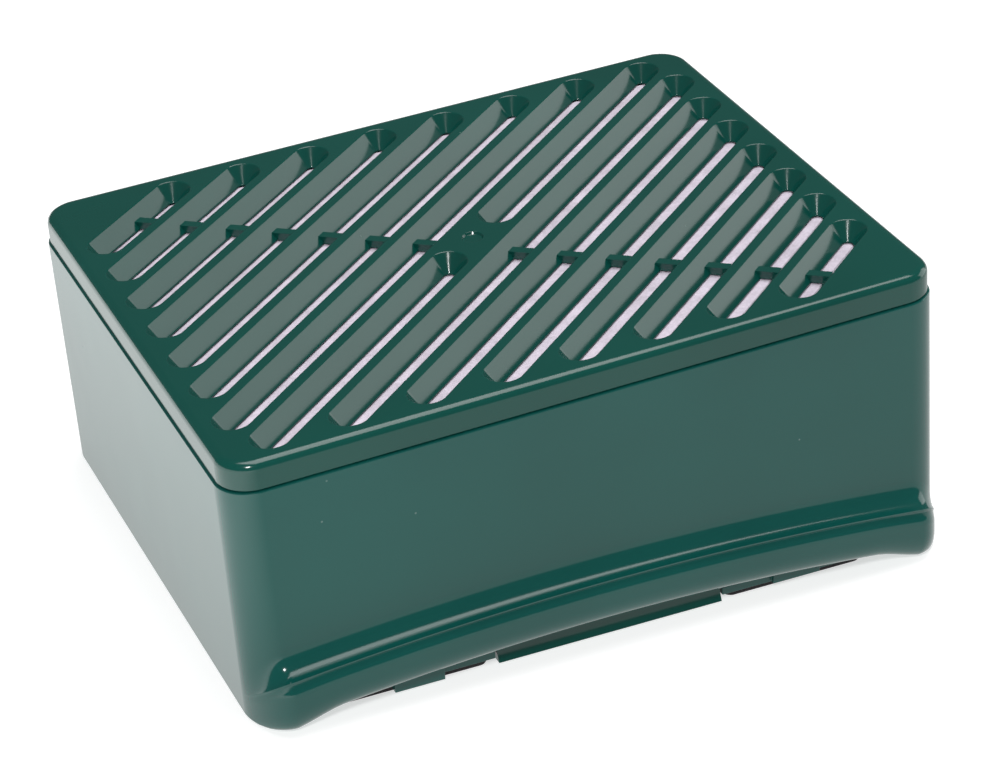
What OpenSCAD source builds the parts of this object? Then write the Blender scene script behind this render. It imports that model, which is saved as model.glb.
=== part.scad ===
// Bait station: a green moulded box with a slotted lid. Insects reach a white bait pad through
// fifteen diagonal funnel slots, and a slide door in the base takes the refills.
// Frame: X along the long front edge, Y to the back, Z up, origin on the floor in the middle of
// the whole outline. The roof falls towards -X so that water runs off. What lines up with the roof
// is drawn square to it and tilted as a whole, and everything is drawn about the middle of the
// housing and then centred.

/* [Housing] */
// Length of the housing along the front
body_l = 121; // [100:1:150]
// Depth of the housing from front to back
body_w = 97; // [80:1:120]
// Radius of the upright corners
corner_r = 6; // [4:0.5:10]
// Thickness of the housing wall
wall_t = 2.2; // [1.6:0.1:3]
// Height of the roof over the floor, at the middle
roof_h = 49.8; // [46:0.2:70]
// Fall of the roof in degrees
roof_slope = 2.1; // [0:0.1:4]
// Gap between the floor and the housing's lower edge
foot_gap = 0.3; // [0.2:0.1:0.6]

/* [Front lip] */
// How far the lip stands out from the front wall
lip_out = 3.9; // [2:0.1:6]
// Height of the lip's groove at the middle
groove_h = 12.9; // [11:0.1:16]
// How much lower the groove is near the corners
groove_bow = 2.9; // [0:0.1:4]
// Height of the groove where it dies into the side walls
groove_side_h = 4.2; // [3:0.1:6]
// Height of the sweep above the groove
sweep_h = 3.7; // [2:0.1:6]
// Clear height under the arch at the middle
arch_h = 5.2; // [4.9:0.1:6]
// How much lower the arch is near the corners
arch_bow = 2.3; // [0:0.1:2.5]

/* [Lid and grille] */
// Setback of the lid from the housing wall
lid_inset = 0.35; // [0.2:0.05:0.8]
// Height of the lid's skirt
skirt_h = 4.8; // [4:0.1:7]
// Radius of the lid's upper edge
edge_r = 1.4; // [0.6:0.1:1.8]
// Thickness of the grille, which is the depth of its funnels
grille_t = 3.05; // [2.4:0.05:3.6]
// Angle of the slots to the front edge
slot_angle = 39.6; // [30:0.1:50]
// Distance between slots, square to them
slot_pitch = 8.1; // [7.4:0.1:10]
// Width of a slot's mouth
mouth_w = 6.5; // [4:0.1:7]
// Width of a slot's slit
slit_w = 1.9; // [1.2:0.1:3]
// Distance from the lid's edge to the centre of a slot's round end
slot_margin = 6.2; // [5.8:0.1:9]
// Length of the solid land in the middle slot, between the centres of the round ends
land_l = 17.4; // [12:0.1:24]
// Diameter of the gate dimple in the middle of the land
gate_d = 3.6; // [2:0.1:5]
// Depth of the gate dimple
gate_depth = 0.5; // [0.2:0.1:1]
// Width of the stiffening rib that crosses the slots
rib_w = 1.7; // [1:0.1:3]
// Depth of the rib's upper face below the grille's
rib_drop = 1.75; // [0.8:0.05:2.2]
// Wall of the lid's spigot
spigot_t = 1.5; // [1.2:0.1:2.5]
// Reach of the spigot below the lid's seam
spigot_h = 4; // [3:0.1:6]
// Height of the four snap beads on the spigot
bead_h = 0.22; // [0.1:0.02:0.3]

/* [Pad and cassette] */
// Thickness of the bait pad
pad_t = 2.6; // [1.5:0.1:4]
// Thickness of the pad frame
frame_t = 1.6; // [1.2:0.1:2.5]
// Width of the pad frame's bars
bar_w = 4; // [3:0.5:6]
// Wall of the cassette
cassette_t = 1.6; // [1.2:0.1:2.5]
// Height of the cassette's floor over the middle of the base, which is the bosses' height
cassette_z = 14; // [12:0.5:16]
// Number of pockets along the front
pockets_x = 3; // [2:1:4]
// Number of pockets from front to back
pockets_y = 2; // [1:1:3]
// Height of the dividers between the pockets
divider_h = 17; // [8:1:20]
// Height of a bait block
block_h = 15.6; // [6:0.2:18]
// Bevel along a bait block's edges
block_bevel = 1.2; // [0.5:0.1:2.5]

/* [Base and door] */
// Thickness of the base frame
base_t = 2.2; // [1.8:0.1:2.6]
// Thickness of the foam strips
foam_t = 1; // [0.8:0.1:2]
// Width of a foam strip at the side
foam_w = 25; // [10:1:26]
// Distance between the side strips
foam_gap = 42; // [41:1:50]
// Width of the slide door and its finger tab
door_w = 39.4; // [30:0.2:40]
// Thickness of the door's plate
door_t = 1.2; // [0.8:0.1:1.4]
// Length of the refill window
window_l = 56; // [40:1:60]
// Distance of the screws from the housing's end and back walls
screw_inset = 10.5; // [10:0.5:13]
// Diameter of a screw's shank
screw_d = 2.9; // [2.5:0.1:3.2]
// Length of a screw's shank
screw_l = 9.6; // [6:0.2:10]

/* [Fits] */
// Running gap between parts that slide or lift out
fit_gap = 0.35; // [0.3:0.05:0.5]
// Gap between soft parts and what holds them
soft_gap = 0.3; // [0.2:0.05:0.5]
// Radial gap round a screw in its hole
screw_gap = 0.05; // [0.02:0.01:0.1]

/* [Hidden] */

$fn = 48;
eps = 0.02;

// Housing
inner_l = body_l - 2 * wall_t;
inner_w = body_w - 2 * wall_t;
inner_r = corner_r - wall_t;
seam_z = roof_h - skirt_h;
front_y = -body_w / 2;
corner_x = body_l / 2 - corner_r;
corner_y = body_w / 2 - corner_r;
split_y = -corner_y + 12;

// Lid
lid_l = body_l - 2 * lid_inset;
lid_w = body_w - 2 * lid_inset;
lid_r = corner_r - lid_inset;
spigot_l = inner_l - 2 * fit_gap;
spigot_w = inner_w - 2 * fit_gap;
spigot_r = inner_r - fit_gap;
well_l = spigot_l - 2 * spigot_t;
well_w = spigot_w - 2 * spigot_t;
well_r = spigot_r - spigot_t;
grille_z = roof_h - grille_t;
slot_x = lid_l / 2 - slot_margin;
slot_y = lid_w / 2 - slot_margin;
slots_side = floor(lid_l / slot_pitch);
bead_l = 14;

// Cassette, pad frame and pad
cassette_l = well_l - 4 * fit_gap;
cassette_w = well_w - 4 * fit_gap;
cassette_r = 2.5;
pad_z = grille_z - soft_gap - pad_t;
frame_z = pad_z - frame_t;
pocket_l = (cassette_l - cassette_t * (pockets_x + 1)) / pockets_x;
pocket_w = (cassette_w - cassette_t * (pockets_y + 1)) / pockets_y;

// Base
base_z = foam_t;
base_top = base_z + base_t;
tongue_t = 1.4;
tongue_l = body_l - 31;
tongue_y = front_y + 1.1;
block_x = [29, 37.5];
channel_w = door_w + 2 * fit_gap;
channel_end = body_w / 2 - 15;
ledge_t = 0.8;
ledge_w = 2;
play = 0.1;
door_z = base_z + ledge_t + play;
cover_t = 1;
cover_z = door_z + door_t + play;
end_gap = 0.5;
grip_l = 16;
grip_y = -30;
grip_pitch = 6;
cover_w = channel_w + 6;
tab_t = 3.2;
tab_h = 4.1;
window_w = door_w - 8;
window_y = 2;
screw_x = body_l / 2 - screw_inset;
screw_y = body_w / 2 - screw_inset;
boss_r = 3.75;
gusset_t = 2;
foam_y = front_y + 1.6;
foam_l = body_w - 12;

// Colours
green = [0.05, 0.26, 0.24];
dark_green = [0.04, 0.2, 0.19];
pad_white = [0.88, 0.86, 0.9];
bait_cream = [0.82, 0.76, 0.6];
foam_black = [0.06, 0.06, 0.06];
steel = [0.6, 0.6, 0.62];

// ---------- shared shapes ----------

// What is square to the roof
module on_roof() {
    rotate([0, -roof_slope, 0]) children();
}

// Moves the middle of the outline, with its leaning walls and its lip, onto the origin
module centred() {
    translate([seam_z * sin(roof_slope) / 2, lip_out / 2, 0]) children();
}

module rounded_rect(l, w, r) {
    square([l - 2 * r, w], center = true);
    square([l, w - 2 * r], center = true);
    for (sx = [-1, 1], sy = [-1, 1])
        translate([sx * (l / 2 - r), sy * (w / 2 - r)]) circle(r);
}

module rounded_box(l, w, r, h) {
    linear_extrude(h) rounded_rect(l, w, r);
}

// Section of a block's edge, with its upper outer corner rounded
module edge_section(r, h, e) {
    square([r, h - e]);
    square([r - e, h]);
    translate([r - e, h - e]) circle(e);
}

// Rounded box whose upper edge is rounded too, in blocks that share whole faces
module crowned_box(l, w, r, h, e) {
    run_x = l - 2 * r;
    run_y = w - 2 * r;
    translate([-run_x / 2, -run_y / 2, 0]) cube([run_x, run_y, h]);
    for (s = [0, 180]) rotate([0, 0, s]) {
        translate([-run_x / 2, -run_y / 2, 0]) rotate([90, 0, 90])
            linear_extrude(run_x) mirror([1, 0]) edge_section(r, h, e);
        translate([run_x / 2, run_y / 2, 0]) rotate([90, 0, 0])
            linear_extrude(run_y) edge_section(r, h, e);
        translate([run_x / 2, run_y / 2, 0]) rotate_extrude(angle = 90) edge_section(r, h, e);
        translate([-run_x / 2, run_y / 2, 0]) rotate([0, 0, 90])
            rotate_extrude(angle = 90) edge_section(r, h, e);
    }
}

// Everything below a level plane
module below(z) {
    translate([-body_l, -body_w, z - 60]) cube([2 * body_l, 2 * body_w, 60]);
}

// ---------- housing ----------

function clamp01(t) = max(0, min(1, t));
function ease(t) = let (u = clamp01(t)) u * u * (3 - 2 * u);

// Height of the floor, seen square to the roof
function floor_z(x) = -x * tan(roof_slope);

// Underside of the arch over the floor
function arch_z(x) = let (u = x / (body_l / 2 - 15.5))
    (arch_h - arch_bow * u * u) * (1 - ease((abs(x) - corner_x + 8) / 12));

// Groove over the floor, along the front
function groove_z(x) = let (u = x / corner_x) groove_h - groove_bow * u * u;

// Section of the lip between a foot b and a groove g: [out, height] from the top down
function lip_section(b, g) = let (f = g - b, top = 0.28 * f) concat(
    [for (i = [0:5]) let (a = i * 18)
        [(lip_out - 0.4) * (1 - cos(a)), g + 0.3 + sweep_h * (1 - sin(a))]],
    [[lip_out - 0.5, g - 0.1], [lip_out - 0.9, g - 0.05 * f]],
    [for (i = [0:3]) let (a = 60 - i * 20)
        [lip_out - 1.4 + 1.4 * cos(a), g - top + 0.75 * top * sin(a)]],
    [for (i = [0:6]) let (a = i * 14)
        [lip_out - 2.9 + 2.9 * cos(a), b + 0.52 * f * (1 - sin(a))]]);

// Stations round the front wall: [x, y, inward x, inward y, weight of the lip, foot, groove]
function side_station(side, y) = [side * body_l / 2, y, -side, 0, 0, -0.2, groove_side_h];
function arc_station(side, u) = let (a = 90 * (1 - u), k = ease(u))
    [side * (corner_x + corner_r * sin(a)), -corner_y - corner_r * cos(a), -side * sin(a), cos(a),
     k, arch_z(corner_x) * k - 0.2, groove_side_h + (groove_z(corner_x) - groove_side_h) * k];
corner_steps = 8;
front_steps = 14;
stations = concat(
    [side_station(-1, split_y)],
    [for (i = [0:corner_steps - 1]) arc_station(-1, i / corner_steps)],
    [for (i = [0:front_steps]) let (x = corner_x * (2 * i / front_steps - 1))
        [x, front_y, 0, 1, 1, arch_z(x) - 0.2, groove_z(x)]],
    [for (i = [corner_steps - 1:-1:0]) arc_station(1, i / corner_steps)],
    [side_station(1, split_y)]);

// A station's loop of points: down the outside from the seam, over the lip and up the inside
function station_loop(s) = let (
    z = floor_z(s[0]),
    xi = s[0] + wall_t * s[2],
    yi = s[1] + wall_t * s[3])
    concat([[s[0], s[1], seam_z]],
           [for (p = lip_section(s[5], s[6])) [s[0], s[1] - p[0] * s[4], p[1] + z]],
           [[xi, yi, s[5] + z - 0.3], [xi, yi, seam_z]]);

// Front wall with its corners and lip, from seam to foot
module front_wall() {
    rows = [for (s = stations) station_loop(s)];
    n = len(rows[0]);
    m = len(rows);
    polyhedron(
        points = [for (r = rows, p = r) p],
        faces = concat(
            [for (i = [0:m - 2], j = [0:n - 1]) let (k = (j + 1) % n)
                [i * n + j, (i + 1) * n + k, i * n + k]],
            [for (i = [0:m - 2], j = [0:n - 1]) let (k = (j + 1) % n)
                [i * n + j, (i + 1) * n + j, (i + 1) * n + k]],
            [for (j = [0:n - 3]) [n - 2, (j + n - 1) % n, j]],
            [for (j = [0:n - 3]) [m * n - 2, (m - 1) * n + j, (m - 1) * n + (j + n - 1) % n]]),
        convexity = 6);
}

// Back wall and side walls up to the front wall's stations
module rear_walls() {
    translate([0, 0, -5]) linear_extrude(seam_z + 5) difference() {
        rounded_rect(body_l, body_w, corner_r);
        rounded_rect(inner_l, inner_w, inner_r);
        translate([-body_l, split_y - body_w]) square([2 * body_l, body_w]);
    }
}

// The space under the arch, through the front wall
module arch_cut() {
    steps = 28;
    half = corner_x + 4;
    translate([0, front_y + wall_t + 0.4, 0]) rotate([90, 0, 0])
        linear_extrude(wall_t + lip_out + 3)
            polygon(concat(
                [for (i = [0:steps]) let (x = half * (2 * i / steps - 1)) [x, arch_z(x) + floor_z(x)]],
                [[half, floor_z(half) - 8], [-half, floor_z(-half) - 8]]));
}

module screw_places() {
    for (sx = [-1, 1], sy = [-1, 1]) translate([sx * screw_x, sy * screw_y, 0]) children();
}

// Bosses in the corners carry the cassette and take the base screws
module bosses() {
    intersection() {
        union() {
            screw_places() translate([0, 0, base_top]) cylinder(r = boss_r, h = cassette_z);
            for (sx = [-1, 1], sy = [-1, 1])
                translate([sx * (screw_x + body_l / 2) / 2, sy * screw_y, base_top + cassette_z / 2])
                    cube([body_l / 2 - screw_x - 1, gusset_t, cassette_z], center = true);
        }
        on_roof() translate([0, 0, cassette_z - 20]) linear_extrude(20)
            rounded_rect(body_l - 1, body_w - 1, corner_r - 0.5);
    }
}

module housing() {
    color(green) centred() difference() {
        union() {
            on_roof() difference() {
                union() {
                    rear_walls();
                    front_wall();
                }
                arch_cut();
                snap_beads(0.5, 0.5);
            }
            bosses();
        }
        below(foot_gap);
        screw_places() translate([0, 0, base_top - 1])
            cylinder(d = screw_d + 2 * screw_gap, h = screw_l - 0.4);
    }
}

// ---------- lid ----------

// Ends of slot k along its own line, or nothing where the slot would be too short
function slot_span(k) = let (
    off = k * slot_pitch, c = cos(slot_angle), s = sin(slot_angle),
    hi = min((slot_x - off * s) / c, (slot_y + off * c) / s),
    lo = max((-slot_x - off * s) / c, (-slot_y + off * c) / s))
    [lo, hi];

// One funnel: a wide mouth that narrows to a slit, with conical ends
module funnel(lo, hi) {
    top = grille_t + eps;
    grow = (mouth_w - slit_w) / 2 / grille_t * eps;
    for (x = [lo, hi]) translate([x, 0, 0]) {
        cylinder(r1 = slit_w / 2, r2 = mouth_w / 2 + grow, h = top);
        translate([0, 0, -1]) cylinder(d = slit_w, h = 1 + eps);
    }
    translate([lo, 0, 0]) rotate([90, 0, 90]) linear_extrude(hi - lo)
        polygon([[-slit_w / 2, -1], [slit_w / 2, -1], [slit_w / 2, 0],
                 [mouth_w / 2 + grow, top], [-mouth_w / 2 - grow, top], [-slit_w / 2, 0]]);
}

// All the slots, in the grille's plane with z = 0 at its underside
module funnels() {
    rotate([0, 0, slot_angle]) for (k = [-slots_side:slots_side]) {
        e = slot_span(k);
        if (k != 0 && e[1] - e[0] > 2 * mouth_w)
            translate([0, -k * slot_pitch, 0]) funnel(e[0], e[1]);
    }
    mid = slot_span(0)[1];
    for (s = [0, 180]) rotate([0, 0, slot_angle + s]) funnel(land_l / 2, mid);
}

// Rib on the other diagonal, sunk below the grille's face
module stiffening_rib() {
    reach = 2 * norm([slot_x, slot_y]) - 12;
    rotate([0, 0, -slot_angle]) translate([-reach / 2, -rib_w / 2, 0])
        cube([reach, rib_w, grille_t - rib_drop]);
}

// Snap beads along the spigot, or with more height the grooves that take them
module snap_beads(h, extra) {
    bead_z = seam_z - spigot_h / 2;
    for (sx = [-1, 1], sy = [-1, 1])
        translate([sx * lid_l / 4 - (bead_l + extra) / 2, sy * (spigot_w / 2 + (extra > 0 ? fit_gap : 0)), bead_z])
            rotate([0, 90, 0]) cylinder(r = h, h = bead_l + extra);
}

module grille_lid() {
    color(dark_green) centred() on_roof() {
        difference() {
            union() {
                translate([0, 0, seam_z]) crowned_box(lid_l, lid_w, lid_r, skirt_h, edge_r);
                translate([0, 0, seam_z - spigot_h])
                    rounded_box(spigot_l, spigot_w, spigot_r, spigot_h + 1);
                snap_beads(bead_h, 0);
            }
            translate([0, 0, seam_z - spigot_h - 1])
                rounded_box(well_l, well_w, well_r, spigot_h + 1 + skirt_h - grille_t);
            translate([0, 0, grille_z]) funnels();
            translate([0, 0, roof_h - gate_depth]) cylinder(d1 = gate_d - 1, d2 = gate_d, h = gate_depth + eps);
        }
        translate([0, 0, grille_z]) stiffening_rib();
    }
}

// ---------- pad, frame and cassette ----------

module bait_pad() {
    color(pad_white) centred() on_roof() translate([0, 0, pad_z])
        rounded_box(cassette_l - 1, cassette_w - 1, cassette_r, pad_t);
}

// Pocket centres, counted from the front left corner
function pocket_x(i) = (i % pockets_x - (pockets_x - 1) / 2) * (pocket_l + cassette_t);
function pocket_y(i) = (floor(i / pockets_x) - (pockets_y - 1) / 2) * (pocket_w + cassette_t);

module pad_frame() {
    color(green) centred() on_roof() translate([0, 0, frame_z]) difference() {
        rounded_box(cassette_l, cassette_w, cassette_r, frame_t);
        for (i = [0:pockets_x * pockets_y - 1])
            translate([pocket_x(i), pocket_y(i), -1])
                rounded_box(pocket_l + cassette_t - bar_w, pocket_w + cassette_t - bar_w, 2, frame_t + 2);
    }
}

module bait_cassette() {
    color(green) centred() on_roof() translate([0, 0, cassette_z]) {
        difference() {
            rounded_box(cassette_l, cassette_w, cassette_r, frame_z - cassette_z);
            translate([0, 0, cassette_t])
                rounded_box(cassette_l - 2 * cassette_t, cassette_w - 2 * cassette_t, 1, roof_h);
        }
        for (i = [1:pockets_x - 1])
            translate([(i - pockets_x / 2) * (pocket_l + cassette_t) - cassette_t / 2, -cassette_w / 2 + 1, 0])
                cube([cassette_t, cassette_w - 2, divider_h + cassette_t]);
        for (j = [1:pockets_y - 1])
            translate([-cassette_l / 2 + 1, (j - pockets_y / 2) * (pocket_w + cassette_t) - cassette_t / 2, 0])
                cube([cassette_l - 2, cassette_t, divider_h + cassette_t]);
    }
}

// Pressed bait block with bevelled edges, in pocket i
module bait_block(i) {
    l = pocket_l - 2 * soft_gap;
    w = pocket_w - 2 * soft_gap;
    b = block_bevel;
    color(bait_cream) centred() on_roof()
        translate([pocket_x(i), pocket_y(i), cassette_z + cassette_t]) intersection() {
            translate([-l / 2, 0, 0]) rotate([90, 0, 90]) linear_extrude(l)
                polygon([[-w / 2, 0], [w / 2, 0], [w / 2, block_h - b], [w / 2 - b, block_h],
                         [b - w / 2, block_h], [-w / 2, block_h - b]]);
            translate([0, w / 2, 0]) rotate([90, 0, 0]) linear_extrude(w)
                polygon([[-l / 2, 0], [l / 2, 0], [l / 2, block_h - b], [l / 2 - b, block_h],
                         [b - l / 2, block_h], [-l / 2, block_h - b]]);
        }
}

// ---------- base, door and foam ----------

// Space between the side walls that the base frame fills
module inside_walls(z, h) {
    intersection() {
        on_roof() translate([0, 0, -8]) rounded_box(inner_l - 2 * fit_gap, inner_w - 2 * fit_gap, inner_r - fit_gap, 30);
        translate([-body_l, -body_w, z]) cube([2 * body_l, 2 * body_w, h]);
    }
}

module base_frame() {
    color(green) centred() difference() {
        union() {
            inside_walls(base_z, base_t);
            // cover over the door's channel
            translate([-cover_w / 2, front_y + wall_t + 0.6, base_z])
                cube([cover_w, channel_end + 3 - front_y - wall_t - 0.6, cover_z + cover_t - base_z]);
            // tongue that shows under the arch, with its two runner blocks
            translate([-tongue_l / 2, tongue_y, base_z]) cube([tongue_l, wall_t + 2, tongue_t]);
            for (s = [-1, 1])
                translate([s * (block_x[0] + block_x[1]) / 2 - (block_x[1] - block_x[0]) / 2, tongue_y - 0.8, base_z])
                    cube([block_x[1] - block_x[0], 3, tongue_t + 0.3]);
            // foot of the left runner block, in front of the foam
            translate([-block_x[1], tongue_y - 0.8, foot_gap])
                cube([block_x[1] - block_x[0], 1.2, base_z]);
        }
        // channel for the door, with ledges under the door's edges
        translate([-channel_w / 2, front_y - 5, base_z + ledge_t])
            cube([channel_w, channel_end - front_y + 5, cover_z - base_z - ledge_t]);
        translate([-channel_w / 2 + ledge_w, front_y - 5, base_z - 1])
            cube([channel_w - 2 * ledge_w, channel_end - front_y + 5, 3]);
        // mouth for the finger tab
        translate([-channel_w / 2, front_y - 5, base_z - 1]) cube([channel_w, 5 + tab_t + 1, 8]);
        translate([-window_w / 2, window_y - window_l / 2, base_z]) cube([window_w, window_l, 10]);
        screw_places() {
            translate([0, 0, base_z - 1]) cylinder(d = screw_d + 0.4, h = base_t + 4);
            translate([0, 0, base_z - eps]) cylinder(r1 = screw_d + 0.2, r2 = screw_d / 2 + 0.2, h = 1.5);
        }
    }
}

module slide_door() {
    plate_y = front_y + tab_t - 0.6;
    plate_l = channel_end - end_gap - plate_y;
    keel_w = door_w - 2 * ledge_w - 2 * play;
    color(green) centred() difference() {
        union() {
            translate([-door_w / 2, plate_y, door_z]) cube([door_w, plate_l, door_t]);
            translate([-keel_w / 2, plate_y, base_z + play])
                cube([keel_w, plate_l, door_z + door_t - base_z - play]);
            finger_tab();
        }
        // grip grooves on the underside
        for (i = [0:4]) translate([-grip_l / 2, grip_y + grip_pitch * i, base_z + play])
            rotate([0, 90, 0]) cylinder(r = 0.5, h = grip_l);
    }
}

// Bar across the door's front, scooped for a fingertip
module finger_tab() {
    scoop_r = 7;
    translate([-door_w / 2, 0, 0]) rotate([90, 0, 90]) linear_extrude(door_w) difference() {
        translate([front_y + 0.1, foot_gap]) square([tab_t + 0.4, tab_h]);
        translate([front_y + 0.1 - scoop_r + 1.3, foot_gap + 3.4]) circle(scoop_r);
    }
}

module base_screws() {
    color(steel) centred() screw_places() {
        translate([0, 0, base_z + play]) cylinder(r1 = screw_d, r2 = screw_d / 2, h = 1.45);
        translate([0, 0, base_z + 0.6]) cylinder(d = screw_d, h = screw_l - 1);
    }
}

module foam_strip(x, y, l, w) {
    color(foam_black) centred() translate([x, y, 0]) rounded_box(l, w, 1.5, foam_t);
}

module foam_left() {
    foam_strip(-(foam_gap + foam_w) / 2, foam_y + foam_l / 2, foam_w, foam_l);
}

module foam_right() {
    foam_strip((foam_gap + foam_w) / 2, foam_y + foam_l / 2, foam_w, foam_l);
}

module foam_back() {
    foam_strip(0, body_w / 2 - 8, foam_gap - 6, 8);
}

housing();
grille_lid();
bait_pad();
pad_frame();
bait_cassette();
bait_block(0);  // bait_block_1
bait_block(1);  // bait_block_2
bait_block(2);  // bait_block_3
bait_block(3);  // bait_block_4
bait_block(4);  // bait_block_5
bait_block(5);  // bait_block_6
base_frame();
slide_door();
base_screws();
foam_left();
foam_right();
foam_back();
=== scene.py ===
import math

import bmesh
import bpy
from mathutils import Matrix, Vector


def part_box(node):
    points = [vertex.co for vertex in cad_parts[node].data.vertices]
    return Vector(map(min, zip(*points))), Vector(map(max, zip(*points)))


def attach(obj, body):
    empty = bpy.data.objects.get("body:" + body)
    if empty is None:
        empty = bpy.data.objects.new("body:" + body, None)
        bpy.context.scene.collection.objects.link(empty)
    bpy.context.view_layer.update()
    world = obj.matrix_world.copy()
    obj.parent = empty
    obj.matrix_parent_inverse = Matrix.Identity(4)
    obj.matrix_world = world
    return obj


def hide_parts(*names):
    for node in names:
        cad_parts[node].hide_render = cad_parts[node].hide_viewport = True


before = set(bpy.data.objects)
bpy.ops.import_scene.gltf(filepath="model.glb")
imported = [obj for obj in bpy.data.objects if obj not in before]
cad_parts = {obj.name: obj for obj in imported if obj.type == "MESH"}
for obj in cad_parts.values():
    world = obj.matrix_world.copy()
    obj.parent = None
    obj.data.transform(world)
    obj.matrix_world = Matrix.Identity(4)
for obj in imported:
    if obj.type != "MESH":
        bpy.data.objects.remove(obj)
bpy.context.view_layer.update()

bl_info = {
    "name": "Bait Station",
    "version": (1, 0, 0),
    "blender": (4, 5, 0),
    "location": "View3D > Sidebar > Bait Station",
    "description": "Builds a moulded insect bait station with a slotted lid, on its solid model",
    "category": "Add Mesh",
}

# Sizes of the pieces inside and underneath, in millimetres
SCREW_INSET = 10.5
BASE_TOP = 3.2
BOSS_RADIUS = 3.75
BOSS_BORE = 1.5
WEB_THICKNESS = 2.0
WEB_DROP = 0.8
SOFT_GAP = 0.3
PAD_THICKNESS = 2.6
PAD_SETBACK = 1.0
CASSETTE_FLOOR = 14.0
CASSETTE_WALL = 1.6
COLUMNS = 3
ROWS = 2
BLOCK_HEIGHT = 15.6


# ---------- sizes, in millimetres ----------

class HousingSizes(bpy.types.PropertyGroup):
    length: bpy.props.FloatProperty(name="Length", description="Length along the front", default=121.0)
    depth: bpy.props.FloatProperty(name="Depth", description="Depth from front to back", default=97.0)
    corner: bpy.props.FloatProperty(name="Corner Radius", description="Radius of the upright corners",
        default=6.0)
    wall: bpy.props.FloatProperty(name="Wall", description="Thickness of the wall", default=2.2)
    roof: bpy.props.FloatProperty(name="Roof Height", description="Height of the roof at the middle",
        default=49.8)
    slope: bpy.props.FloatProperty(
        name="Roof Slope", description="Fall of the roof", default=math.radians(2.1), subtype="ANGLE")
    foot: bpy.props.FloatProperty(name="Foot Gap", description="Gap under the lower edge", default=0.3)
    lip: bpy.props.FloatProperty(name="Lip", description="How far the front lip stands out", default=3.9)
    groove: bpy.props.FloatProperty(name="Groove Height", description="Height of the lip's groove",
        default=12.9)
    groove_bow: bpy.props.FloatProperty(name="Groove Bow", description="Fall of the groove to the corners",
        default=2.9)
    groove_side: bpy.props.FloatProperty(
        name="Groove at Sides", description="Height of the groove where it ends", default=4.2)
    sweep: bpy.props.FloatProperty(name="Sweep", description="Height of the sweep over the groove", default=3.7)
    arch: bpy.props.FloatProperty(name="Arch Height", description="Clear height under the arch", default=5.2)
    arch_bow: bpy.props.FloatProperty(name="Arch Bow", description="Fall of the arch to the corners",
        default=2.3)
    rim: bpy.props.FloatProperty(name="Rim Radius", description="Rounding of the rim at the seam", default=0.3)


class LidSizes(bpy.types.PropertyGroup):
    inset: bpy.props.FloatProperty(name="Inset", description="Setback from the housing wall", default=0.35)
    skirt: bpy.props.FloatProperty(name="Skirt", description="Height of the skirt", default=4.8)
    crown: bpy.props.FloatProperty(name="Edge Radius", description="Radius of the upper edge", default=1.4)
    grille: bpy.props.FloatProperty(name="Grille", description="Thickness of the grille", default=3.05)
    angle: bpy.props.FloatProperty(
        name="Slot Angle", description="Angle of the slots to the front", default=math.radians(39.6),
            subtype="ANGLE")
    pitch: bpy.props.FloatProperty(name="Slot Pitch", description="Distance between slots", default=8.1)
    mouth: bpy.props.FloatProperty(name="Mouth", description="Width of a slot's mouth", default=6.5)
    slit: bpy.props.FloatProperty(name="Slit", description="Width of a slot's slit", default=1.9)
    margin: bpy.props.FloatProperty(name="Margin", description="From the lid's edge to a round end",
        default=6.2)
    land: bpy.props.FloatProperty(name="Land", description="Solid length in the middle slot", default=17.4)
    gate: bpy.props.FloatProperty(name="Gate", description="Diameter of the gate dimple", default=3.6)
    rib: bpy.props.FloatProperty(name="Rib", description="Width of the stiffening rib", default=1.7)
    rib_drop: bpy.props.FloatProperty(name="Rib Drop", description="Depth of the rib under the face",
        default=1.75)
    spigot: bpy.props.FloatProperty(name="Spigot", description="Reach of the spigot under the seam",
        default=4.0)
    spigot_wall: bpy.props.FloatProperty(name="Spigot Wall", description="Wall of the spigot", default=1.5)
    fit: bpy.props.FloatProperty(name="Fit Gap", description="Gap between the spigot and the housing",
        default=0.35)
    fillet: bpy.props.FloatProperty(name="Mouth Fillet", description="Rounding of a slot's mouth", default=0.35)


class StationColours(bpy.types.PropertyGroup):
    housing: bpy.props.StringProperty(name="Housing", description="Moulded green, as sRGB hex",
        default="#0C4F49")
    lid: bpy.props.StringProperty(name="Lid", description="Darker moulded green, as sRGB hex",
        default="#0A473F")
    pad: bpy.props.StringProperty(name="Pad", description="Pressed pulp, as sRGB hex", default="#D2C8D6")
    bait: bpy.props.StringProperty(name="Bait", description="Pressed bait, as sRGB hex", default="#BFA77C")
    foam: bpy.props.StringProperty(name="Foam", description="Closed-cell foam, as sRGB hex", default="#1A181B")


# ---------- helpers ----------

def add(tree, kind, inputs=None, **settings):
    """Adds a node with its settings and links, and returns it."""
    made = tree.nodes.new(kind)
    for key, value in settings.items():
        setattr(made, key, value)
    for key, value in (inputs or {}).items():
        if isinstance(value, bpy.types.Node):
            value = value.outputs[0]
        if isinstance(value, bpy.types.NodeSocket):
            tree.links.new(value, made.inputs[key])
        else:
            made.inputs[key].default_value = value
    return made


def linear(code, alpha=1.0):
    """An sRGB hex colour as linear values."""
    values = [int(code[i:i + 2], 16) / 255 for i in (1, 3, 5)]
    return [v / 12.92 if v <= 0.04045 else ((v + 0.055) / 1.055) ** 2.4 for v in values] + [alpha]


def settings():
    scene = bpy.context.scene
    return scene.station_housing, scene.station_lid, scene.station_colours


def to_row(tilted=True):
    """From millimetres about the housing's middle to the row frame, on the roof's slope or level."""
    h, lid, _ = settings()
    seam = h.roof - lid.skirt
    shift = Matrix.Translation((seam * math.sin(h.slope) / 2000, h.lip / 2000, 0))
    turn = Matrix.Rotation(-h.slope if tilted else 0, 4, "Y")
    return shift @ turn @ Matrix.Scale(0.001, 4)


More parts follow.
